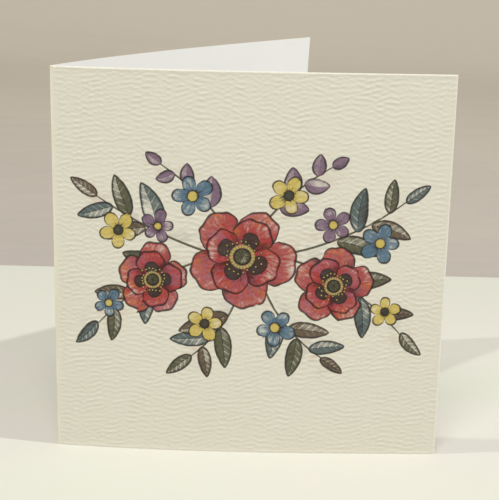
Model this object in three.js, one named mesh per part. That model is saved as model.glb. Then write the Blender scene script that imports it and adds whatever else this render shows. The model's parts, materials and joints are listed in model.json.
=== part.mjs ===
// A square greeting card, folded once and standing part open on its lower edges.
// Millimetres, +Z up. The fold is upright. The front leaf stands along +X with its outer face towards -Y,
// and the back leaf swings behind it about the fold.
import * as THREE from "three";

const LEAF_WIDTH = 148.5; // along the paper, from the fold to the free edge
const LEAF_HEIGHT = 150;
const PAPER = 0.45; // thickness of the card
const FOLD_RADIUS = 0.75; // outside of the crease, measured from the axis that the leaves turn about
const OPEN_AT_FOOT = 52; // degrees between the leaves where they stand
const OPEN_AT_TOP = 48.8; // less than at the foot, because the surface holds the feet apart
const FRONT_BOW = 3; // how far each leaf stands out from a flat one at its fullest
const BACK_BOW = 5;
const JOIN_GAP = 0.3; // between the crease and each leaf

const LEAF_COLUMNS = 30; // flat strips that follow the bow
const CREASE_COLUMNS = 8; // flat strips round the bend of the fold
const TWIST_ROWS = 15; // bands from the foot to the top that follow the twist

const CREAM = { color: 0xdad4be, roughness: 0.85, metalness: 0 };
const PALE_CREAM = { color: 0xe2ddca, roughness: 0.8, metalness: 0 };

// t(1 - t)(2 - t) is the bend of a springy strip whose bending dies out at its free end, t = 1.
// BOW_PEAK is its greatest value, so that a bow states the true height.
const BOW_PEAK = 2 / (3 * Math.sqrt(3));
const bowHeight = (bow, t) => (bow * t * (1 - t) * (2 - t)) / BOW_PEAK;

// A bowed leaf spans less than its flat width, by half the mean square of its slope.
const CHORD_LOSS = 0.4 / BOW_PEAK ** 2;
const chordOf = (bow) => LEAF_WIDTH - (CHORD_LOSS * bow ** 2) / LEAF_WIDTH;

// The closed solid of a sheet. facePoint(u, height, depth) gives a point on the outer face at depth 0 and on the
// inner face at depth PAPER, with u from 0 to 1 across the sheet and the outer face towards u x height.
// Both faces are split into the same triangles.
function sheetSolid(facePoint, columns, rows) {
  const across = columns + 1;
  const layer = across * (rows + 1);
  const points = [];
  for (const depth of [0, PAPER]) {
    for (let j = 0; j <= rows; j += 1) {
      for (let i = 0; i <= columns; i += 1) {
        points.push(facePoint(i / columns, (j / rows) * LEAF_HEIGHT, depth));
      }
    }
  }
  const outer = (i, j) => j * across + i;
  const inner = (i, j) => layer + outer(i, j);
  const triangles = [];
  const addQuad = (a, b, c, d) => triangles.push(a, b, c, a, c, d);
  for (let i = 0; i < columns; i += 1) {
    for (let j = 0; j < rows; j += 1) {
      addQuad(outer(i, j), outer(i + 1, j), outer(i + 1, j + 1), outer(i, j + 1));
      triangles.push(inner(i, j), inner(i + 1, j + 1), inner(i + 1, j));
      triangles.push(inner(i, j), inner(i, j + 1), inner(i + 1, j + 1));
    }
    addQuad(outer(i, 0), inner(i, 0), inner(i + 1, 0), outer(i + 1, 0));
    addQuad(outer(i, rows), outer(i + 1, rows), inner(i + 1, rows), inner(i, rows));
  }
  for (let j = 0; j < rows; j += 1) {
    addQuad(outer(0, j), outer(0, j + 1), inner(0, j + 1), inner(0, j));
    addQuad(outer(columns, j), inner(columns, j), inner(columns, j + 1), outer(columns, j + 1));
  }
  const geometry = new THREE.BufferGeometry().setFromPoints(points);
  geometry.setIndex(triangles);
  geometry.computeVertexNormals();
  return geometry;
}

function sheetMesh(name, finish, facePoint, columns, rows) {
  const mesh = new THREE.Mesh(sheetSolid(facePoint, columns, rows), new THREE.MeshStandardMaterial(finish));
  mesh.name = name;
  return mesh;
}

// The angle between the leaves at a height, in radians.
const openingAt = (height) =>
  THREE.MathUtils.degToRad(THREE.MathUtils.lerp(OPEN_AT_FOOT, OPEN_AT_TOP, height / LEAF_HEIGHT));

// A point of the front leaf, from the fold at u = 0 to the free edge at u = 1.
function frontPoint(u, height, depth) {
  const chord = chordOf(FRONT_BOW);
  const along = THREE.MathUtils.lerp(JOIN_GAP, chord, u);
  return new THREE.Vector3(along, depth - FOLD_RADIUS - bowHeight(FRONT_BOW, along / chord), height);
}

// A point of the back leaf, from the free edge at u = 0 to the fold at u = 1. It is worked out along +X
// with the outer face towards +Y, and then turned about the fold by the opening at its height.
function backPoint(u, height, depth) {
  const chord = chordOf(BACK_BOW);
  const along = THREE.MathUtils.lerp(chord, JOIN_GAP, u);
  const outward = FOLD_RADIUS - depth + bowHeight(BACK_BOW, along / chord);
  return new THREE.Vector3(along, outward, height).applyAxisAngle(new THREE.Vector3(0, 0, 1), openingAt(height));
}

// A point of the crease, which bends round the fold from the back leaf at u = 0 to the front leaf at u = 1.
function creasePoint(u, height, depth) {
  const backEnd = Math.PI / 2 + openingAt(height);
  const frontEnd = (3 * Math.PI) / 2;
  const turn = THREE.MathUtils.lerp(backEnd, frontEnd, u);
  const radius = FOLD_RADIUS - depth;
  return new THREE.Vector3(radius * Math.cos(turn), radius * Math.sin(turn), height);
}

const card = new THREE.Group();
card.add(sheetMesh("front_leaf", CREAM, frontPoint, LEAF_COLUMNS, 1));
card.add(sheetMesh("back_leaf", CREAM, backPoint, LEAF_COLUMNS, TWIST_ROWS));
card.add(sheetMesh("crease", PALE_CREAM, creasePoint, CREASE_COLUMNS, TWIST_ROWS));

// The origin is the middle of the card's footprint, on the surface that it stands on.
const middle = new THREE.Box3().setFromObject(card, true).getCenter(new THREE.Vector3());
card.position.set(-middle.x, -middle.y, 0);

export default card;
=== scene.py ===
"""A square greeting card of felt-marked board, standing part open, with a spray of flowers on its cover."""

import json
import math

import bpy
import numpy as np
from mathutils import Matrix, Vector


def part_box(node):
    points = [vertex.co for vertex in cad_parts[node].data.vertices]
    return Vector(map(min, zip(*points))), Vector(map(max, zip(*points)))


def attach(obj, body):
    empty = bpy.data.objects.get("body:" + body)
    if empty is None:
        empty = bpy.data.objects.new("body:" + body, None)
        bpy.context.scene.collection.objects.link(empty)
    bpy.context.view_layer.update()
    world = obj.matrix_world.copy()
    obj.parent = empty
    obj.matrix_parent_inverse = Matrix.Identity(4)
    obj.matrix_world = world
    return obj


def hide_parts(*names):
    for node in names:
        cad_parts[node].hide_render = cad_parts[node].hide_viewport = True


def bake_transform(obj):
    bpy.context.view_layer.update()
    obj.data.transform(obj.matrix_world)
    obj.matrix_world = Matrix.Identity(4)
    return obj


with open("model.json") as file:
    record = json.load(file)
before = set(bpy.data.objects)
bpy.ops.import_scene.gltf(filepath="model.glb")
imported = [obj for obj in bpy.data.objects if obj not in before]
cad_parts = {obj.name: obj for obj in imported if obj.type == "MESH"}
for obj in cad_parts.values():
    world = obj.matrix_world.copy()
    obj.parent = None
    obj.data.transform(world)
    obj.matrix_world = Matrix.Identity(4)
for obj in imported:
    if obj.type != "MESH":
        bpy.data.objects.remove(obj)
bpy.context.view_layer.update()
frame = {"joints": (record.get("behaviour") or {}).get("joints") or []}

# The card's sizes, in millimetres. The fold's place and the leaf's height come from the frame.
MM = 0.001
PAPER = 0.45  # thickness of the card
FOLD_RADIUS = 0.75  # outside of the bend, from the axis that the leaves turn about
OPEN_AT_FOOT = math.radians(52)
OPEN_AT_TOP = math.radians(48.8)
FRONT_BOW = 3.0  # how far each leaf stands out from a flat one at its fullest
BACK_BOW = 5.0
LEAF_WIDTH = 148.5  # along the paper, from the fold to the free edge
JOIN = 0.3  # of straight board between the bend and each leaf
BOW_PEAK = 2 / (3 * math.sqrt(3))  # the greatest value of t(1 - t)(2 - t)
CHORD_LOSS = 0.4 / BOW_PEAK**2  # half the mean square of the slope, for a bow as high as the leaf is wide

fold = frame["joints"][0]
FOLD_X, FOLD_Y = fold["pos_m"][0] / MM, fold["pos_m"][1] / MM
LEAF_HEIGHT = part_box("front_leaf")[1].z / MM

# The felt mark: raised dashes, longer across the card than up it.
MARK_DEPTH = 0.18
MARK_PITCH = (1.25, 2.4)  # the shortest and the longest wave, up the card
MARK_SLANT = 0.62  # the spread of the waves' slants
MARK_WAVES = 140
MARK_LEVEL = -0.5  # of the waves' sum, under which the board is pressed to its full depth
MARK_RANGE = 2.6  # from that level to the top of the highest dashes
MARK_SHARPNESS = 1.4
MARK_MARGIN = 1.2  # in which the mark fades in from each side
COVER_MARK = 3  # what the random draws start from
BACK_MARK = 8

# The free sides' rolled rims, the turn of the surface from which an edge stays sharp, and how far the
# dressed faces lie inside the solids' own.
RIM_WIDTH = 0.40
RIM_DEPTH = 0.18
SHARP = math.radians(50)
SKIN = 0.01

# The grids: fine cells of the outer face to one of the inner face, and the inner face's cells, across
# and up.
FINE = 5
LEAF_CELLS = (46, 74)
BACK_CELLS = (36, 60)
CREASE_CELLS = (4, 74)

# A sheet's materials, by number: outer face, inner face, and cut edges with the rolled rims. On the rims the
# cut edges' paler colour is in part a painted highlight.
OUTER, INNER, CUT_AND_RIM_HIGHLIGHT = 0, 1, 2

# The print: its middle on the paper, along it from the fold and up from the foot, and its inks.
PRINT_MIDDLE = (74.0, 78.0)
INK = (0.030, 0.024, 0.023)
CREAM = (0.737, 0.709, 0.600)
PALE_CREAM = (0.770, 0.747, 0.645)
BRICK = (0.38, 0.052, 0.052)
ORANGE = (0.50, 0.14, 0.055)
ROSE = (0.37, 0.125, 0.165)
DEEP_RED = (0.085, 0.020, 0.020)
STEEL_BLUE = (0.095, 0.170, 0.240)
YELLOW = (0.60, 0.47, 0.12)
MAUVE = (0.200, 0.125, 0.190)
CHARCOAL = (0.045, 0.044, 0.038)
MOSS = (0.090, 0.092, 0.048)
UMBER = (0.125, 0.085, 0.050)
SLATE = (0.085, 0.120, 0.122)
OCHRE = (0.56, 0.44, 0.16)

# Flowers: middle from the print's middle, radius and, for the small ones, colour.
FRONT_POPPIES = [(-3, 2, 20.5)]
SIDE_POPPIES = [(32, -9, 15.5), (-37, -8, 14.5)]
SMALL_FLOWERS = [
    (-22, 25, 8.6, STEEL_BLUE), (14, 26, 8.0, YELLOW), (49, 8, 8.0, STEEL_BLUE), (-50, 11, 7.8, YELLOW),
    (10, -26, 8.2, STEEL_BLUE), (-17, -25, 7.6, YELLOW), (31, 15, 7.2, MAUVE), (-35, 13, 6.6, MAUVE),
    (52, -19, 6.4, YELLOW), (-54, -18, 6.2, STEEL_BLUE),
]
FLOWER_TURNS = (0, 6)  # radians, between which chance turns each flower
# Stems: start, bend and end, from the print's middle, each a curve of the second degree.
STEMS = [
    ((-3, 2), (-32, 2), (-58, -26)), ((-3, 2), (28, 6), (58, -28)), ((-3, 2), (-12, 22), (-34, 37)),
    ((-3, 2), (8, 24), (30, 37)), ((-10, 2), (-34, 8), (-58, 24)), ((6, 2), (34, 6), (58, 24)),
    ((-2, 0), (-4, -24), (-22, -38)), ((2, 0), (8, -24), (28, -38)),
]
BUD_STEMS = (2, 3)  # by their place in the list; the others bear leaves
STEM_STEPS = 60
STALK_WIDTH = 0.42
STALK_TAPER = 0.22
# A face that lies farther from a stem than from the stem's line, by more than STEM_SLACK, is past its end.
STEM_SLACK = 0.6
FAR = 9.0

# Leaves and buds: how many a stem bears, from which share of its length on, how far they lean to its sides
# and stray from that, in radians, and how long they are.
LEAVES_ON_STEM = 5
FIRST_LEAF = 0.50
AHEAD = 0.02  # the share of the stem that gives its heading
LEAF_LEAN = 0.85
LEAF_STRAY = 0.15
LEAF_LENGTH = 19.0
LEAF_SHORTENING = 1.9  # from one leaf to the next
LENGTH_CHANCE = (0.9, 1.1)
BUD_SIZE = 0.60  # of a leaf's
LEAF_LAYERS = 3
BUD_LAYERS = 2
PRINT_DRAW = 12  # what the random draws start from

# The noises that every painted shape shares: largest spots in millimetres, detail and roughness.
WOBBLE_NOISE = (2.6, 3.0)
BLEED_NOISE = (9.0, 2.0)
POOL_NOISE = (3.6, 3.0)
GRAIN_NOISE = (0.55, 2.0, 0.7)
BREAK_NOISE = (4.0, 3.0)

# A wash: how far its edge wanders and how softly it ends, and the band inside it where paint dries darker.
EDGE_WANDER = 0.9
EDGE_SOFTNESS = 0.12
DRIED_BAND = (-1.1, -0.1)
# How much that band, the pools and the grain change its density, and the densities between which it goes
# from paper to its tint, and from there to its dark.
BAND_SHARE = 0.22
POOL_SHARE = 0.55
GRAIN_SHARE = 0.35
TO_TINT = (0.0, 0.62)
TO_DARK = (0.68, 1.15)

# The pen line round a wash: how far it wanders, its least width and how much it swells, as shares of the
# width asked for, its softness, where it breaks off and how strong it is.
PEN_WANDER = 0.35
PEN_LEAST = 0.55
PEN_SWELL = 1.1
PEN_SOFTNESS = 0.16
PEN_BREAKS = (0.22, 0.42)
PEN_STRENGTH = 0.88
LINE_SOFTNESS = 0.14  # of the lines drawn inside a shape

# Poppies, in shares of the flower's radius.
SEED_TURN = 0.37  # of a petal, by which one flower's petals are turned from the next one's
OUTER_PETALS, OUTER_REACH = 5, 1.0
INNER_PETALS, INNER_REACH, INNER_PHASE = 4, 0.74, 0.4
PETAL_LENGTH = 0.90  # the least, to which chance adds
PETAL_CHANCE = 0.16
PETAL_FALL = 0.30  # how much shorter a petal is at its sides
PETAL_ROUNDNESS = 2.6
PETAL_SWAY = 0.25  # of a petal's width
FRILL = 0.018
FRILL_HALF_WAVES = 6.0
FRILL_PHASE = 6.0  # radians, up to which chance shifts the frill
PETAL_DENSITY = 0.66
PETAL_STREAKS = (0.020, 0.004, 1.1, 3.0)
SEAM_WIDTH = 0.12  # millimetres
BLOTCH_MIDDLE = 0.30
BLOTCH_LENGTH = 0.19
BLOTCH_WIDTH = 0.32  # of a petal's
BLOTCH_DENSITY = 0.78
PALE_RING = (0.19, 0.21)
EYE = 0.15
STAMENS = 22
STAMEN_LENGTH = (0.25, 0.13)  # the least, and what chance adds
EYE_RIBS = 9.0

# Small flowers: petals, in shares of the flower's radius, and the dots round the eye.
SMALL_PETALS = 5.0
SMALL_MIDDLE = 0.30
SMALL_LENGTH = (0.55, 0.18)
SMALL_ROUNDNESS = 0.55
SMALL_DENSITY = 0.52
SMALL_STREAKS = (0.010, 0.003, 1.2, 2.0)
SMALL_EYE = 0.24
EYE_DOTS = 11.0
DOT_RING = (0.27, 0.10)

# Leaves' and buds' greatest half width, as a share of their length, and the leaves' side veins.
LEAF_FATNESS = 0.19
BUD_FATNESS = 0.30
VEINS = 6.0
BLADE_ROUNDNESS = 0.8
BLADE_BEND = 0.5
BLADE_DENSITY = 0.72

# The photograph's view: the camera's place from the fold's foot in millimetres, its angles, and its focal
# length in pixels of a picture 500 pixels high.
CAMERA_PLACE = (80.4, -468.6, 214.1)
CAMERA_PITCH = math.radians(15.77)
CAMERA_ROLL = math.radians(1.2)
CAMERA_YAW = math.radians(-0.82)
FOCAL_PIXELS = 1283.9
PICTURE_HEIGHT = 500
SENSOR = 36.0

# The stage, in metres, with the two colours that each surface drifts between, and in millimetres the pitch
# of its spots. GROUND_LEAN is how much of the way from one colour to the other the ground goes in a metre.
TABLE_END = 0.187
WALL_Y = 1.4
WALL_BEND = 0.4
WALL_STEPS = 16
WALL_HEIGHT = 2.0
STAGE_SIDE = 12.0
TABLE_COLOURS = ((0.605, 0.603, 0.530), (0.625, 0.600, 0.555))
WALL_COLOURS = ((0.390, 0.345, 0.325), (0.600, 0.545, 0.460))
TABLE_PITCH = 90.0
GROUND_PITCH = 400.0
GROUND_LEAN = 0.8
STAGE_STRETCH = (3, 1, 1)
STAGE_GRAIN = 0.1
STAGE_ROUGHNESS = 0.75

# The lights, in metres and watts: name, place, size, power and tint. All of them point at LIT_POINT.
LIT_POINT = (0, 0, 0.07)
SPOT_SIZE = (0.03, 0.03)
SPOT_TINT = (0.96, 1.0, 0.93)
LIGHTS = [
    ("right spot", (0.87, -0.235, 1.30), SPOT_SIZE, 9.9, SPOT_TINT),
    ("left spot", (-0.94, -0.21, 1.35), SPOT_SIZE, 6.8, SPOT_TINT),
    ("ceiling", (-0.1, -0.80, 1.4), (0.6, 0.4), 11.4, (1.0, 1.0, 0.98)),
]
WORLD_TINT = (1.0, 0.957, 0.957)
WORLD_STRENGTH = 0.47

# The board's dull finish, with its own noises, and the two colours that each bare face drifts between.
BOARD_ROUGHNESS = 0.9
SPECULAR = 0.25
CLOUD_NOISE = (30.0, 2.0)
FIBRE_NOISE = (0.35, 2.0, 0.7)
PALE_SHARE = 0.25  # of the paler cream in the board
BOARD_GRAIN = (0.45, 3.0, 0.65)
GRAIN_FINENESS = 20  # how many times finer the grain is than the spots
BOARD_GRAIN_HEIGHT = 0.03
INSIDE_COLOURS = ((0.880, 0.874, 0.868), (0.895, 0.893, 0.888))
# The cut edges' colours, paler than the cream; on the rolled rims they are in part a painted highlight.
EDGE_AND_RIM_HIGHLIGHT_COLOURS = ((0.80, 0.765, 0.65), (0.87, 0.845, 0.76))
CREASE_COLOURS = ((0.75, 0.71, 0.57), (0.81, 0.775, 0.65))
EVEN = (1, 1, 1)
UPRIGHT = (1, 1, 12)

# A Mix node lists its sockets for numbers and vectors before those for colours.
MIX_SHARE, MIX_UNDER, MIX_OVER, MIX_RESULT = 0, 6, 7, 2


def bow_height(bow, t):
    """How far a springy strip stands out at the share t of its way to the free end: bow x t(1 - t)(2 - t),
    divided by that formula's greatest value."""
    return bow * t * (1 - t) * (2 - t) / BOW_PEAK


def chord_of(bow):
    """What a bowed leaf spans: its flat width, less the share of it that is half the mean square of its
    slope."""
    return LEAF_WIDTH - CHORD_LOSS * bow**2 / LEAF_WIDTH


def opening_at(height):
    """The angle between the leaves, which changes evenly from the foot to the top."""
    return OPEN_AT_FOOT + (OPEN_AT_TOP - OPEN_AT_FOOT) * height / LEAF_HEIGHT


def front_point(t, height, depth):
    """A point of the cover, from JOIN beside the fold at t = 0 along +X to the free edge at t = 1, bowed
    towards -Y, and depth in from the outer face."""
    chord = chord_of(FRONT_BOW)
    along = JOIN + t * (chord - SKIN - JOIN)
    return np.stack([along, depth - FOLD_RADIUS - bow_height(FRONT_BOW, along / chord), height], -1)


def back_point(t, height, depth):
    """The same for the back leaf, which runs from its free edge at t = 0 to JOIN beside the fold at t = 1,
    and is turned about the fold by the opening at its height."""
    chord = chord_of(BACK_BOW)
    along = JOIN + (1 - t) * (chord - SKIN - JOIN)
    outward = FOLD_RADIUS - depth + bow_height(BACK_BOW, along / chord)
    turn = opening_at(height)
    x = along * np.cos(turn) - outward * np.sin(turn)
    y = along * np.sin(turn) + outward * np.cos(turn)
    return np.stack([x, y, height], -1)


def crease_point(t, height, depth):
    """A point of the fold: an arc round the fold's axis from the back leaf to the cover, with a straight
    strip JOIN wide at each end."""
    back_end = math.pi / 2 + opening_at(height)
    front_end = 1.5 * math.pi
    arc = FOLD_RADIUS * (front_end - back_end)
    way = t * (arc + 2 * JOIN) - JOIN
    on_arc = np.clip(way, 0, arc)
    turn = back_end + on_arc / FOLD_RADIUS
    straight = way - on_arc
    radius = FOLD_RADIUS - depth
    x = radius * np.cos(turn) - straight * np.sin(turn)
    y = radius * np.sin(turn) + straight * np.cos(turn)
    return np.stack([x, y, height], -1)


def felt_mark(across, up, seed):
    """How deep the felt has pressed the board. A sum of cosine waves, in parts of its usual size, is
    measured up from MARK_LEVEL in parts of MARK_RANGE, kept from 0 to 1 and raised to the power
    MARK_SHARPNESS, and the depth is MARK_DEPTH times 1 less that. The waves run nearly up the card, so what
    stays raised is dashes across it."""
    draw = np.random.default_rng(seed)
    total = np.zeros_like(across)
    for _ in range(MARK_WAVES):
        steep = 2 * math.pi / draw.uniform(*MARK_PITCH)
        flat = steep * draw.normal(0, MARK_SLANT)
        total += np.cos(flat * across + steep * up + draw.uniform(0, 2 * math.pi))
    usual_size = math.sqrt(MARK_WAVES / 2)
    level = total / usual_size
    crest = np.clip((level - MARK_LEVEL) / MARK_RANGE, 0, 1) ** MARK_SHARPNESS
    from_rim = np.minimum.reduce([across, LEAF_WIDTH - across, up, LEAF_HEIGHT - up])
    fade = np.clip(from_rim / MARK_MARGIN, 0, 1)
    return MARK_DEPTH * (1 - crest) * fade


def cut_edge(outer_line, inner_line):
    """The polygons of one cut edge, each with FINE sides on the outer face and one on the inner face, given
    the two lines of vertices that it joins."""
    starts = np.arange(0, outer_line.size - 1, FINE)
    outer_sides = outer_line[starts[:, None] + np.arange(FINE + 1)]
    return np.concatenate([outer_sides[:, ::-1], inner_line[:-1, None], inner_line[1:, None]], 1)


def board(name, point, cells, materials, mark_seed=None, free_column=None):
    """A closed sheet: a fine grid for the outer face, one FINE times coarser for the inner face, and cut
    edges. point(t, height, depth) places both faces. A sheet with a mark_seed has the felt mark, and its
    outer face is rolled in by RIM_DEPTH at its foot, top and free_column, over a last cell RIM_WIDTH
    wide."""
    columns, rows = cells[0] * FINE, cells[1] * FINE
    steps, heights = np.linspace(0, 1, columns + 1), np.linspace(0, LEAF_HEIGHT, rows + 1)
    marked = mark_seed is not None
    if marked:
        steps[[1, -2]] = RIM_WIDTH / LEAF_WIDTH, 1 - RIM_WIDTH / LEAF_WIDTH
        heights[[1, -2]] = RIM_WIDTH, LEAF_HEIGHT - RIM_WIDTH
    t, up = np.meshgrid(steps, heights)
    t_in, up_in = t[::FINE, ::FINE], up[::FINE, ::FINE]
    depth = np.zeros_like(t)
    outer_kinds = np.full((rows, columns), OUTER)
    if marked:
        depth = felt_mark(t * LEAF_WIDTH, up, mark_seed)
        # The rolled rims take the cut edges' paler colour, in part a painted highlight along the foot, top
        # and free side.
        for side in (np.s_[0, :], np.s_[-1, :], np.s_[:, free_column]):
            depth[side] = RIM_DEPTH
            outer_kinds[side] = CUT_AND_RIM_HIGHLIGHT
    outer = point(t, up, depth + SKIN)
    inner = point(t_in, up_in, np.full_like(t_in, PAPER))
    places = np.concatenate([outer.reshape(-1, 3), inner.reshape(-1, 3)]) + (FOLD_X, FOLD_Y, 0)

    o = np.arange(t.size).reshape(t.shape)
    n = t.size + np.arange(t_in.size).reshape(t_in.shape)
    outer_faces = np.stack([o[:-1, :-1], o[:-1, 1:], o[1:, 1:], o[1:, :-1]], -1).reshape(-1, 4)
    inner_faces = np.stack([n[:-1, :-1], n[1:, :-1], n[1:, 1:], n[:-1, 1:]], -1).reshape(-1, 4)
    edges = [
        cut_edge(o[0], n[0]),
        cut_edge(o[-1, ::-1], n[-1, ::-1]),
        cut_edge(o[::-1, 0], n[::-1, 0]),
        cut_edge(o[:, -1], n[:, -1]),
    ]
    edge_faces = np.concatenate(edges)
    faces = outer_faces.tolist() + inner_faces.tolist() + edge_faces.tolist()
    other_kinds = np.repeat([INNER, CUT_AND_RIM_HIGHLIGHT], [len(inner_faces), len(edge_faces)])

    mesh = bpy.data.meshes.new(name)
    mesh.from_pydata(places * MM, [], faces)
    mesh.polygons.foreach_set("material_index", np.concatenate([outer_kinds.ravel(), other_kinds]))
    mesh.polygons.foreach_set("use_smooth", np.ones(len(faces), bool))
    for material in materials:
        mesh.materials.append(material)
    mesh.update()
    mesh.set_sharp_from_angle(angle=SHARP)
    piece = bpy.data.objects.new(name, mesh)
    bpy.context.scene.collection.objects.link(piece)
    paper = np.stack([t * LEAF_WIDTH, up], -1).reshape(-1, 2)
    return piece, paper, outer_faces


class Term:
    """A number at each point of a surface: the output of a shader node. Python's operators lay down Math
    nodes."""

    def __init__(self, tree, socket):
        self.tree = tree
        self.socket = socket

    def math(self, operation, *others):
        """What a Math node makes of this number and the others."""
        node = self.tree.nodes.new("ShaderNodeMath")
        node.operation = operation
        for place, value in enumerate((self, *others)):
            feed(self.tree, value, node.inputs[place])
        return Term(self.tree, node.outputs[0])

    def __add__(self, other):
        return self.math("ADD", other)

    def __radd__(self, other):
        return self.math("ADD", other)

    def __sub__(self, other):
        return self.math("SUBTRACT", other)

    def __rsub__(self, other):
        return self.math("MULTIPLY", -1.0).math("ADD", other)

    def __mul__(self, other):
        return self.math("MULTIPLY", other)

    def __rmul__(self, other):
        return self.math("MULTIPLY", other)

    def __truediv__(self, other):
        return self.math("DIVIDE", other)

    def __pow__(self, other):
        return self.math("POWER", other)

    def __abs__(self):
        return self.math("ABSOLUTE")

    def most(self, other):
        return self.math("MAXIMUM", other)

    def least(self, other):
        return self.math("MINIMUM", other)

    def rise(self, low, high):
        """0 up to low, 1 from high on, and an S curve between."""
        node = self.tree.nodes.new("ShaderNodeMapRange")
        node.interpolation_type = "SMOOTHSTEP"
        feed(self.tree, self, node.inputs["Value"])
        feed(self.tree, low, node.inputs["From Min"])
        feed(self.tree, high, node.inputs["From Max"])
        return Term(self.tree, node.outputs["Result"])

    def fall(self, low, high):
        """1 up to low, 0 from high on, and an S curve between."""
        return 1.0 - self.rise(low, high)


def feed(tree, value, socket):
    """Links a Term or a socket to an input, or sets the input to a number or a colour."""
    if isinstance(value, Term):
        tree.links.new(value.socket, socket)
    elif isinstance(value, bpy.types.NodeSocket):
        tree.links.new(value, socket)
    elif isinstance(value, tuple):
        socket.default_value = (*value, 1.0)
    else:
        socket.default_value = value


def mixed(tree, share, under, over):
    """The colour under, with a share of it replaced by over."""
    node = tree.nodes.new("ShaderNodeMix")
    node.data_type = "RGBA"
    feed(tree, share, node.inputs[MIX_SHARE])
    feed(tree, under, node.inputs[MIX_UNDER])
    feed(tree, over, node.inputs[MIX_OVER])
    return node.outputs[MIX_RESULT]


def noise(tree, place, pitch, detail=2.0, roughness=0.5):
    """Noise from 0 to 1 on a place given in metres, its largest spots about pitch millimetres apart."""
    node = tree.nodes.new("ShaderNodeTexNoise")
    feed(tree, place, node.inputs["Vector"])
    node.inputs["Scale"].default_value = 1 / (pitch * MM)
    node.inputs["Detail"].default_value = detail
    node.inputs["Roughness"].default_value = roughness
    return Term(tree, node.outputs[0])


def vector(tree, x, y, z):
    """The place that three numbers make, each of them a Term or plain."""
    node = tree.nodes.new("ShaderNodeCombineXYZ")
    for value, socket in zip((x, y, z), node.inputs):
        feed(tree, value, socket)
    return node.outputs[0]


def chance(tree, seed):
    """A number from 0 to 1 drawn for each whole number that seed is nearest to."""
    node = tree.nodes.new("ShaderNodeTexWhiteNoise")
    node.noise_dimensions = "1D"
    feed(tree, seed.math("ROUND"), node.inputs["W"])
    return Term(tree, node.outputs["Value"])


def split_colour(tree, colour):
    """A colour's red, green and blue, as Terms."""
    node = tree.nodes.new("ShaderNodeSeparateColor")
    tree.links.new(colour, node.inputs[0])
    return [Term(tree, output) for output in node.outputs[:3]]


def attribute(tree, name):
    """The outputs of a node that reads an attribute of the mesh."""
    node = tree.nodes.new("ShaderNodeAttribute")
    node.attribute_name = name
    return node.outputs


def carried(tree, name):
    """The four numbers of an attribute of the mesh, as Terms."""
    outputs = attribute(tree, name)
    return [*split_colour(tree, outputs["Color"]), Term(tree, outputs["Alpha"])]


def tint_of(tree, name):
    """The colour of an attribute of the mesh."""
    return attribute(tree, name)["Color"]


class Wash:
    """What every painted shape shares: the noises that break up its edge, its colour and its ink line."""

    def __init__(self, tree):
        self.tree = tree
        self.place = tree.nodes.new("ShaderNodeTexCoord").outputs["Object"]
        self.wobble = noise(tree, self.place, *WOBBLE_NOISE) - 0.5
        self.bleed = noise(tree, self.place, *BLEED_NOISE)
        self.pool = noise(tree, self.place, *POOL_NOISE)
        self.grain = noise(tree, self.place, *GRAIN_NOISE)
        self.broken = noise(tree, self.place, *BREAK_NOISE)

    def lay(self, under, edge, tint, density, dark=None, line=0.22, opaque=0.96):
        """Paints a shape over what is under it. edge is the distance outside its outline in millimetres.
        density from 0 to 1 takes the colour from nearly paper to the full tint and then to dark."""
        tree = self.tree
        rough_edge = edge + self.wobble * EDGE_WANDER
        inside = rough_edge.fall(-EDGE_SOFTNESS, EDGE_SOFTNESS)
        band = rough_edge.rise(*DRIED_BAND)
        full = density + band * BAND_SHARE
        full = full + (self.pool - 0.5) * POOL_SHARE + (self.grain - 0.5) * GRAIN_SHARE
        thin = mixed(tree, full.rise(*TO_TINT), CREAM, tint)
        colour = mixed(tree, full.rise(*TO_DARK), thin, dark or INK)
        painted = mixed(tree, inside * opaque, under, colour)
        from_line = abs(edge + self.wobble * PEN_WANDER)
        width = line * (PEN_LEAST + self.broken * PEN_SWELL)
        ink = from_line.fall(width, width + PEN_SOFTNESS) * self.broken.rise(*PEN_BREAKS)
        return mixed(tree, ink * PEN_STRENGTH, painted, INK)

    def line(self, under, distance, width, colour=INK, strength=0.85):
        """Draws a pen line where the distance to it is under its width."""
        mark = distance.fall(width, width + LINE_SOFTNESS)
        return mixed(self.tree, mark * strength, under, colour)


def polar(x, y, radius):
    """The distance from a flower's middle, as a share of its radius, and the turn round it from 0 to 1."""
    away = (x * x + y * y).math("SQRT") / radius
    turn = y.math("ARCTAN2", x) / (2 * math.pi) + 0.5
    return away, turn


def streaks(tree, f, cell, away, seed, look):
    """Noise drawn out from a petal's foot to its tip, at a place of its own for each petal and flower. look
    is how far a petal's width and length reach in the noise, in metres, and the noise's pitch and detail."""
    width, length, pitch, detail = look
    petal_step, flower_step = 0.01, 0.1
    place = vector(tree, f * width + cell * petal_step, away * length, seed * flower_step)
    return noise(tree, place, pitch, detail)


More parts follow.
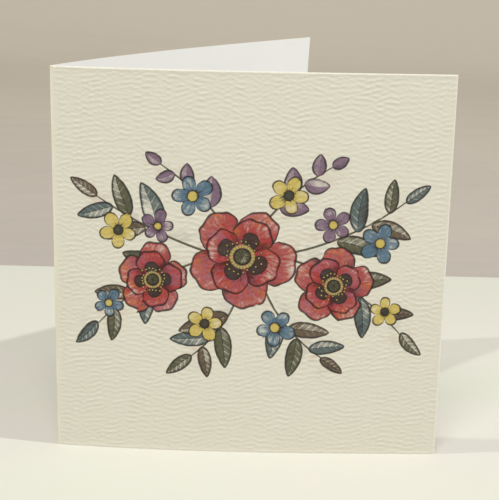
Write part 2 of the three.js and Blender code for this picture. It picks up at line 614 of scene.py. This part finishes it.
def whorl(wash, under, away, turn, radius, seed, petals, reach, phase):
    """A ring of petals. f goes from -0.5 to 0.5 across each petal, which ends at reach x its own length x
    (1 - 0.3 |2f|^2.6) with a small frill. Returns the paint, and f and the draw of each point's petal."""
    tree = wash.tree
    swirl = turn * petals + phase + seed * SEED_TURN + (wash.bleed - 0.5) * PETAL_SWAY
    cell = swirl.math("FLOOR")
    f = swirl - cell - 0.5
    # A whole number of its own for each petal of the flowers that one attribute carries.
    flower_step, ring_step = 31.0, 500.0
    own = chance(tree, cell + seed * flower_step + phase * ring_step)
    side = abs(f) * 2.0
    frill = (f * FRILL_HALF_WAVES * math.pi + own * FRILL_PHASE).math("SINE") * FRILL
    own_length = PETAL_LENGTH + own * PETAL_CHANCE
    length = reach * own_length * (1.0 - PETAL_FALL * side**PETAL_ROUNDNESS) + frill
    edge = (away - length) * radius

    streak = streaks(tree, f, cell, away, seed, PETAL_STREAKS)
    side_shadow = f.fall(-0.5, -0.16) * 0.34
    foot_shadow = away.fall(0.25, 0.60) * 0.16
    streaking = (streak - 0.5) * 0.75
    own_tone = (own - 0.5) * 0.22
    bleeding = (wash.bleed - 0.5) * 0.6
    pale_tip = (away / reach).rise(0.60, 0.92) * 0.16
    density = PETAL_DENSITY + side_shadow + foot_shadow + streaking + own_tone + bleeding - pale_tip
    warm = mixed(tree, wash.pool.rise(0.50, 0.70) * 0.8, BRICK, ORANGE)
    rosy = (wash.bleed + (streak - 0.5) * 0.8).rise(0.52, 0.66) * 0.75
    painted = wash.lay(under, edge, mixed(tree, rosy, warm, ROSE), density, dark=DEEP_RED, line=0.27)

    # The seam between two petals ends at the edge and short of the flower's middle.
    petal_width = 2 * math.pi / petals
    beyond_edge = edge.most(0.0) * 3.0
    near_middle = away.fall(0.25, 0.5)
    seam = (0.5 - abs(f)) * away * radius * petal_width + beyond_edge + near_middle
    pen_width = SEAM_WIDTH + wash.wobble * 0.25
    return wash.line(painted, seam, pen_width), f, own


def poppies(wash, under, name):
    """Open flowers in two rings of petals, the inner ones with a dark blotch at the foot, round an eye
    ringed by stamens."""
    tree = wash.tree
    x, y, radius, seed = carried(tree, name)
    away, turn = polar(x, y, radius)
    paint, _, _ = whorl(wash, under, away, turn, radius, seed, OUTER_PETALS, OUTER_REACH, 0.0)
    paint, f, own = whorl(wash, paint, away, turn, radius, seed, INNER_PETALS, INNER_REACH, INNER_PHASE)

    # The blotch is an ellipse, whose width differs a little from petal to petal.
    own_width = 0.30 + own * 0.08
    spread = ((away - BLOTCH_MIDDLE) / BLOTCH_LENGTH) ** 2.0 + (f / own_width) * (f / BLOTCH_WIDTH)
    blotch = (spread.math("SQRT") - 1.0) * radius * 0.2
    pools = (wash.pool - 0.5) * 0.7
    paint = wash.lay(paint, blotch, CHARCOAL, BLOTCH_DENSITY + pools, dark=INK, line=0.05, opaque=0.92)
    ring_start, ring_end = PALE_RING
    pale_ring = away.rise(EYE, ring_start) * away.fall(ring_end, 0.25)
    paint = mixed(tree, pale_ring * 0.8, paint, OCHRE)

    # Each stamen is a thread from the eye to a dark dot with a yellow middle.
    spoke = turn * STAMENS
    which = spoke.math("FLOOR")
    across = (spoke - which - 0.5) * away * radius * (2 * math.pi / STAMENS)
    least, added = STAMEN_LENGTH
    tip = least + chance(tree, which + seed * 11.0) * added
    dot = (((away - tip) * radius) ** 2.0 + across * across).math("SQRT")
    dot_size, dot_middle = 0.52, 0.22
    paint = wash.line(paint, dot, dot_size)
    paint = wash.line(paint, dot, dot_middle, YELLOW, strength=0.95)
    cut_off = 40.0
    thread = abs(across) + (away - tip).most(0.0) * cut_off + (EYE - away).most(0.0) * cut_off
    paint = wash.line(paint, thread, 0.05, strength=0.6)

    # The eye, and the ribs on it.
    eye = (away - EYE) * radius
    paint = wash.lay(paint, eye, MOSS, 0.62 + (wash.pool - 0.5) * 0.5)
    beyond_rib = (away - 0.13).most(0.0) * 60.0
    rib = abs((turn * EYE_RIBS).math("FRACT") - 0.5) * away * radius * 0.7 + beyond_rib
    return wash.line(paint, rib, 0.06, strength=0.8)


def small_flowers(wash, under):
    """Five round petals round an eye that contrasts with them. f goes from -0.5 to 0.5 across each petal,
    which ends at 0.3 + its own length x cos(pi f)^0.55, in shares of the flower's radius."""
    tree = wash.tree
    x, y, radius, seed = carried(tree, "small_flower")
    tint = tint_of(tree, "small_flower_tint")
    away, turn = polar(x, y, radius)
    swirl = turn * SMALL_PETALS + seed * SEED_TURN + wash.wobble * 0.12
    cell = swirl.math("FLOOR")
    f = swirl - cell - 0.5
    own = chance(tree, cell + seed * 23.0)
    round_end = (f * math.pi).math("COSINE").most(0.001) ** SMALL_ROUNDNESS
    least, added = SMALL_LENGTH
    edge = (away - (SMALL_MIDDLE + (least + own * added) * round_end)) * radius
    streak = streaks(tree, f, cell, away, seed, SMALL_STREAKS)
    foot_shadow = away.fall(0.25, 0.6) * 0.30
    streaking = (streak - 0.5) * 0.8
    own_tone = (own - 0.5) * 0.3
    paint = wash.lay(under, edge, tint, SMALL_DENSITY + foot_shadow + streaking + own_tone)

    # Yellow flowers have a dark eye, and the others, whose tints are low in red, a yellow one.
    red, _, _ = split_colour(tree, tint)
    eye_colour = mixed(tree, red.rise(0.4, 0.6), YELLOW, CHARCOAL)
    eye = (away - SMALL_EYE) * radius
    paint = wash.lay(paint, eye, eye_colour, 0.55 + away * 0.6, line=0.14)
    dots = chance(tree, (turn * EYE_DOTS).math("FLOOR") + seed * 17.0)
    nearest, added = DOT_RING
    ring = abs(away - (nearest + dots * added)) * radius + (dots - 0.6).most(0.0) * 3.0
    spoke = abs((turn * EYE_DOTS).math("FRACT") - 0.5) * away * radius * 0.57
    dot = (ring * ring + spoke * spoke).math("SQRT")
    return wash.line(paint, dot, 0.18, strength=0.7)


def blades(wash, under, name, fatness, veins):
    """Leaves or buds. x runs from the base to the tip, and half the width at it is fatness x length x
    (1 - (2 x^0.8 - 1)^2)^0.8, so that the widest place is below the middle."""
    tree = wash.tree
    x, y, length, seed = carried(tree, name)
    tint = tint_of(tree, name + "_tint")
    along = x / length
    middle = along.most(0.0).least(1.0) ** BLADE_ROUNDNESS * 2.0 - 1.0
    half_width = (1.0 - middle * middle).most(0.0) ** BLADE_ROUNDNESS * length * fatness
    beyond = (abs(along - 0.5) - 0.5).most(0.0) * length
    own = chance(tree, seed)
    bent = y + (along - 0.5) * (along - 0.5) * length * (own - 0.5) * BLADE_BEND
    edge = abs(bent) - half_width + beyond * 2.0

    # One half is paler than the other, and so is the blade between its side veins.
    lit = bent.rise(-0.15, 0.15) * 0.26
    bleeding = (wash.bleed - 0.5) * 0.7
    own_tone = (own - 0.5) * 0.2
    density = BLADE_DENSITY + bleeding - lit + own_tone
    if veins:
        vein_slant = abs(bent) / length * 0.9
        side_vein = abs(((along - vein_slant) * veins).math("FRACT") - 0.5) * length / veins
        density = density - side_vein.fall(0.10, 0.35) * 0.22
    paint = wash.lay(under, edge, tint, density, line=0.21)
    short_of_tip = (along - 0.86).most(0.0) * 60.0
    rib = abs(bent) + beyond * 3.0 + short_of_tip
    pen_width = 0.07 + wash.wobble * 0.08
    return wash.line(paint, rib, pen_width, strength=0.75) if veins else paint


def stems(wash, under):
    """Stalks: a thin wash of olive with an ink line down one side, and pale stains of mauve and orange near
    them."""
    tree = wash.tree
    offset, share, width, reach = carried(tree, "stem")
    stains = [
        (reach.fall(1.0, 9.0) * wash.bleed.rise(0.50, 0.66), 0.32, MAUVE),
        (reach.fall(2.0, 8.0) * wash.bleed.fall(0.34, 0.48), 0.26, ORANGE),
    ]
    for stain, strength, tint in stains:
        under = mixed(tree, stain * (0.55 + wash.wobble) * strength, under, tint)
    fade = share.fall(0.90, 1.0)
    stalk = abs(offset) - width * (0.5 + fade * 0.5)
    paint = mixed(tree, (stalk + wash.wobble * 0.3).fall(-0.05, 0.12) * 0.9, under, MOSS)
    side_line = abs(offset - width) + wash.broken.fall(0.3, 0.42) * 0.4
    return wash.line(paint, side_line, 0.10)


def board_base(tree, wash):
    """The bare board: cream with faint clouds of tone and fine fibres."""
    clouds = (noise(tree, wash.place, *CLOUD_NOISE) - 0.5) * 0.5
    fibres = (noise(tree, wash.place, *FIBRE_NOISE) - 0.5) * 0.3
    return mixed(tree, clouds + PALE_SHARE + fibres, CREAM, PALE_CREAM)


def dull_material(name, roughness):
    """A new material with a dull shader."""
    material = bpy.data.materials.new(name)
    material.use_nodes = True
    shader = material.node_tree.nodes["Principled BSDF"]
    shader.inputs["Roughness"].default_value = roughness
    shader.inputs["Specular IOR Level"].default_value = SPECULAR
    return material, material.node_tree, shader


def raise_grain(tree, shader, grain, height, strength):
    """Shades the surface as if the grain stood up to height millimetres out of it."""
    bump = tree.nodes.new("ShaderNodeBump")
    bump.inputs["Strength"].default_value = strength
    bump.inputs["Distance"].default_value = height * MM
    feed(tree, grain, bump.inputs["Height"])
    tree.links.new(bump.outputs[0], shader.inputs["Normal"])


def mottled(name, colour, other, pitch, stretch, grain_height, roughness=BOARD_ROUGHNESS, lean=0.0):
    """A dull surface that drifts between two colours in spots of the given pitch in millimetres, stretched
    by a factor for each of the axes, with grain of its own height in millimetres. lean is how much of the
    way from one colour to the other it goes in a metre along +Y."""
    material, tree, shader = dull_material(name, roughness)
    mapping = tree.nodes.new("ShaderNodeMapping")
    mapping.inputs["Scale"].default_value = [1 / factor for factor in stretch]
    whole = tree.nodes.new("ShaderNodeTexCoord").outputs["Object"]
    tree.links.new(whole, mapping.inputs["Vector"])
    place = mapping.outputs[0]
    drift = noise(tree, place, pitch, detail=3.0)
    grain = noise(tree, place, pitch / GRAIN_FINENESS, roughness=0.7)
    share = (drift + (grain - 0.5) * 0.35).rise(0.30, 0.70)
    if lean:
        split = tree.nodes.new("ShaderNodeSeparateXYZ")
        tree.links.new(whole, split.inputs[0])
        share = share * 0.2 + Term(tree, split.outputs["Y"]) * lean
    tree.links.new(mixed(tree, share, colour, other), shader.inputs["Base Color"])
    raise_grain(tree, shader, grain, grain_height, strength=0.3)
    return material


def felt_board(name, printed):
    """Cream board with fine fibres, and on the cover the printed flowers."""
    material, tree, shader = dull_material(name, BOARD_ROUGHNESS)
    wash = Wash(tree)
    colour = board_base(tree, wash)
    if printed:
        colour = stems(wash, colour)
        for layer in range(LEAF_LAYERS):
            colour = blades(wash, colour, f"leaf_{layer}", LEAF_FATNESS, VEINS)
        for layer in range(BUD_LAYERS):
            colour = blades(wash, colour, f"bud_{layer}", BUD_FATNESS, 0)
        colour = small_flowers(wash, colour)
        colour = poppies(wash, colour, "side_poppy")
        colour = poppies(wash, colour, "front_poppy")
    tree.links.new(colour, shader.inputs["Base Color"])
    grain = noise(tree, wash.place, *BOARD_GRAIN)
    raise_grain(tree, shader, grain, BOARD_GRAIN_HEIGHT, strength=0.25)
    return material


def stem_curve(stem, t):
    """A point of a stem at t from 0 to 1: (1 - t)^2 start + 2t(1 - t) bend + t^2 end."""
    start, bend, end = (np.array(p, float) for p in stem)
    t = np.asarray(t, float)[..., None]
    return (1 - t) ** 2 * start + 2 * t * (1 - t) * bend + t**2 * end


def leaves_on(stem, draw):
    """Leaves by turns on the right and left of a stem, smaller towards its end, where the last one points
    on. Each is a base, a direction and a length."""
    found = []
    for k in range(LEAVES_ON_STEM):
        last = k == LEAVES_ON_STEM - 1
        t = FIRST_LEAF + (1 - FIRST_LEAF) * k / (LEAVES_ON_STEM - 1)
        start = min(t, 1 - AHEAD)
        base, ahead = stem_curve(stem, [start, start + AHEAD])
        heading = math.atan2(ahead[1] - base[1], ahead[0] - base[0])
        side = 1 if k % 2 else -1
        lean = 0 if last else LEAF_LEAN * side + draw.uniform(-LEAF_STRAY, LEAF_STRAY)
        length = (LEAF_LENGTH - LEAF_SHORTENING * k) * draw.uniform(*LENGTH_CHANCE)
        found.append((*(ahead if last else base), heading + lean, length))
    return found


def print_cover(piece, paper, faces):
    """Gives each face of the cover the motif of each kind that it lies nearest to, and each of its corners
    that motif's own coordinates, so that the shader draws each motif from its formula."""
    mesh = piece.data
    corners = (paper - PRINT_MIDDLE)[faces]
    middles = corners.mean(1)
    total = len(mesh.loops)

    def carry(name, values):
        """Puts four numbers for each corner of the outer face into an attribute of the mesh."""
        layer = mesh.attributes.new(name, "FLOAT_COLOR", "CORNER")
        whole = np.zeros((total, 4), np.float32)
        whole[: values.shape[0] * 4] = values.reshape(-1, 4)
        layer.data.foreach_set("color", whole.ravel())

    def carry_motifs(name, places, turns, sizes, tints, distance):
        """Carries x and y in the nearest motif's own directions, its size and its number, and its tint."""
        which = np.argmin(distance, axis=1)
        local = corners - places[which][:, None]
        c, s = np.cos(turns[which])[:, None], np.sin(turns[which])[:, None]
        x = local[..., 0] * c + local[..., 1] * s
        y = local[..., 1] * c - local[..., 0] * s
        size = np.broadcast_to(sizes[which][:, None], x.shape)
        number = np.broadcast_to(which[:, None] + 1.0, x.shape)
        carry(name, np.stack([x, y, size, number], -1))
        if tints is not None:
            colour = np.concatenate([tints[which], np.ones((len(which), 1))], 1)
            carry(name + "_tint", np.repeat(colour[:, None], 4, 1))

    draw = np.random.default_rng(PRINT_DRAW)

    def carry_flowers(name, flowers, tints=None):
        """Flowers, of which a face's nearest is the one fewest of its own radii away."""
        middle = np.array([p[:2] for p in flowers], float)
        radius = np.array([p[2] for p in flowers])
        gap = np.linalg.norm(middles[:, None] - middle, axis=2) / radius
        turns = draw.uniform(*FLOWER_TURNS, len(middle))
        carry_motifs(name, middle, turns, radius, tints, gap)

    carry_flowers("front_poppy", FRONT_POPPIES)
    carry_flowers("side_poppy", SIDE_POPPIES)
    carry_flowers("small_flower", SMALL_FLOWERS, np.array([p[3] for p in SMALL_FLOWERS]))

    def carry_blades(name, rows, tints):
        """Leaves or buds, of which a face's nearest is the one whose midrib it lies nearest to."""
        rows = np.array(rows)
        base, turns, lengths = rows[:, :2], rows[:, 2], rows[:, 3]
        heading = np.stack([np.cos(turns), np.sin(turns)], -1)
        local = middles[:, None] - base
        along = np.clip((local * heading).sum(2), 0, lengths)
        gap = np.linalg.norm(local - along[..., None] * heading, axis=2)
        carry_motifs(name, base, turns, lengths, tints, gap)

    leaves, buds = [], []
    for k, stem in enumerate(STEMS):
        (buds if k in BUD_STEMS else leaves).extend(leaves_on(stem, draw))
    greens = np.array([(MOSS, SLATE, UMBER)[k % 3] for k in range(len(leaves))])
    for layer in range(LEAF_LAYERS):
        carry_blades(f"leaf_{layer}", leaves[layer::LEAF_LAYERS], greens[layer::LEAF_LAYERS])
    buds = [(x, y, turn, length * BUD_SIZE) for x, y, turn, length in buds]
    mauves = np.array([MAUVE for _ in buds])
    for layer in range(BUD_LAYERS):
        carry_blades(f"bud_{layer}", buds[layer::BUD_LAYERS], mauves[layer::BUD_LAYERS])

    # For the stems, each corner carries how far beside the nearest stem it lies, how far along that, the
    # stem's width there and the distance to it. A face past the end of a stem is moved FAR off its line.
    t = np.linspace(0, 1, STEM_STEPS)
    curves = np.array([stem_curve(stem, t) for stem in STEMS])
    gaps = np.stack([np.linalg.norm(middles[:, None] - curve, axis=2).min(1) for curve in curves])
    lines = curves[gaps.argmin(0)]
    steps = np.linalg.norm(corners[:, :, None] - lines[:, None], axis=3)
    nearest = steps.argmin(2).clip(0, len(t) - 2)
    rows = np.arange(len(lines))[:, None]
    here, ahead = lines[rows, nearest], lines[rows, nearest + 1]
    unit = (ahead - here) / np.linalg.norm(ahead - here, axis=2, keepdims=True)
    local = corners - here
    offset = unit[..., 0] * local[..., 1] - unit[..., 1] * local[..., 0]
    past = (steps.min(2) > np.abs(offset) + STEM_SLACK).any(1, keepdims=True)
    offset = np.where(past, FAR, offset)
    share = t[nearest]
    width = STALK_WIDTH - STALK_TAPER * share
    carry("stem", np.stack([offset, share, width, steps.min(2)], -1))


def make_stage():
    """A pale table, and behind its far edge a darker ground that turns up into a wall by a quarter of a
    circle."""
    turn = np.linspace(0, math.pi / 2, WALL_STEPS + 1)
    rise_y = WALL_Y - WALL_BEND * (1 - np.sin(turn))
    rise_z = WALL_BEND * (1 - np.cos(turn))
    table = [(-STAGE_SIDE, 0.0), (TABLE_END, 0.0)]
    ground = [(TABLE_END, 0.0), *zip(rise_y, rise_z), (WALL_Y, WALL_HEIGHT)]
    strips = [
        ("studio_table", table, TABLE_COLOURS, TABLE_PITCH, 0.0),
        ("studio_ground", ground, WALL_COLOURS, GROUND_PITCH, GROUND_LEAN),
    ]
    for name, line, colours, pitch, lean in strips:
        corners = [(x, y, z) for y, z in line for x in (-STAGE_SIDE, STAGE_SIDE)]
        mesh = bpy.data.meshes.new(name)
        mesh.from_pydata(corners, [], [(k, k + 1, k + 3, k + 2) for k in range(0, len(corners) - 2, 2)])
        mesh.polygons.foreach_set("use_smooth", np.ones(len(mesh.polygons), bool))
        finish = mottled(name, *colours, pitch, STAGE_STRETCH, STAGE_GRAIN, STAGE_ROUGHNESS, lean)
        mesh.materials.append(finish)
        strip = bpy.data.objects.new(name, mesh)
        bpy.context.scene.collection.objects.link(strip)


def area_light(name, place, size, power, tint):
    """A rectangular light that points at LIT_POINT."""
    data = bpy.data.lights.new(name, "AREA")
    data.shape = "RECTANGLE"
    data.size, data.size_y = size
    data.energy = power
    data.color = tint
    lamp = bpy.data.objects.new(name, data)
    lamp.location = place
    lamp.rotation_euler = (Vector(LIT_POINT) - Vector(place)).to_track_quat("-Z", "Y").to_euler()
    bpy.context.scene.collection.objects.link(lamp)


def light_scene():
    """Small spots from both sides, a broad soft light above, and an even light from all round."""
    for light in LIGHTS:
        area_light(*light)
    world = bpy.data.worlds.new("studio")
    world.use_nodes = True
    background = world.node_tree.nodes["Background"]
    background.inputs["Color"].default_value = (*WORLD_TINT, 1)
    background.inputs["Strength"].default_value = WORLD_STRENGTH
    bpy.context.scene.world = world
    bpy.context.scene.view_settings.view_transform = "Standard"


def set_camera():
    """Looks along +Y turned by the yaw and down by the pitch, and is then rolled about its own axis."""
    level = Matrix.Rotation(-CAMERA_YAW, 4, "Z") @ Matrix.Rotation(math.pi / 2 - CAMERA_PITCH, 4, "X")
    turned = level @ Matrix.Rotation(CAMERA_ROLL, 4, "Z")
    x, y, z = CAMERA_PLACE
    data = bpy.data.cameras.new("photo view")
    data.sensor_width = SENSOR
    data.lens = FOCAL_PIXELS * SENSOR / PICTURE_HEIGHT
    camera = bpy.data.objects.new("photo view", data)
    camera.matrix_world = Matrix.Translation(Vector((FOLD_X + x, FOLD_Y + y, z)) * MM) @ turned
    bpy.context.scene.collection.objects.link(camera)
    bpy.context.scene.camera = camera


cream = felt_board("printed felt board", True)
bare = felt_board("bare felt board", False)
white = mottled("white inside", *INSIDE_COLOURS, pitch=16.0, stretch=EVEN, grain_height=0.02)
# The cut edges' material, also laid on the rolled rims, where its paleness is in part a painted highlight.
edge = mottled("cut edge", *EDGE_AND_RIM_HIGHLIGHT_COLOURS, pitch=1.2, stretch=EVEN, grain_height=0.04)
creased = mottled("scored board", *CREASE_COLOURS, pitch=1.5, stretch=UPRIGHT, grain_height=0.03)

# The cover's free side is its last column, and the back leaf's its first.
cover, paper, cover_faces = board(
    "printed_cover", front_point, LEAF_CELLS, (cream, white, edge), COVER_MARK, -1
)
back, _, _ = board("plain_back", back_point, BACK_CELLS, (bare, white, edge), BACK_MARK, 0)
print_cover(cover, paper, cover_faces)
crease, _, _ = board("scored_fold", crease_point, CREASE_CELLS, (creased, white, edge))

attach(cover, "front")
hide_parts("front_leaf")
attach(back, "back")
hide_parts("back_leaf")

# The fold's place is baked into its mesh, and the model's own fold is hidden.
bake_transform(crease)
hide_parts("crease")

make_stage()
light_scene()
set_camera()
